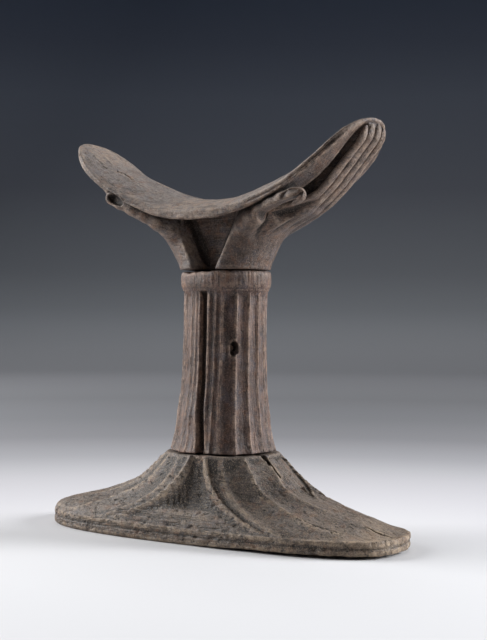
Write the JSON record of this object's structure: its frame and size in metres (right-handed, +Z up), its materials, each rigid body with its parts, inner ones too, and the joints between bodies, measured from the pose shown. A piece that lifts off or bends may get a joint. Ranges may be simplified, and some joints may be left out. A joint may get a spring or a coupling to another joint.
{
  "type": "headrest",
  "caption": "Carved wooden headrest: a curved pillow held up by two hands on a fluted column, which stands on a long flared foot.",
  "frame": {"origin": "centre of the foot's underside, on the ground", "axes": "+Z up, X along the pillow and the foot, -Y the side with the thumbs"},
  "size_m": [0.177, 0.066, 0.18],
  "materials": {
    "dusty_wood": "old dark wood under a grey film of dust, rubbed smooth on top",
    "dark_wood": "old dark reddish brown wood, worn paler on the ridges of the flutes",
    "worn_wood": "old grey-brown wood, pitted, with worn tan edges",
    "tenon_wood": "plain turned hardwood, never seen",
    "peg_wood": "plain hardwood peg ends, darkened"
  },
  "bodies": {
    "root": {"pillow_with_hands": "dusty_wood", "column": "dark_wood", "foot": "worn_wood", "upper_tenon": "tenon_wood", "lower_tenon": "tenon_wood", "upper_tenon_peg": "peg_wood", "lower_tenon_peg": "peg_wood"}
  },
  "joints": []
}
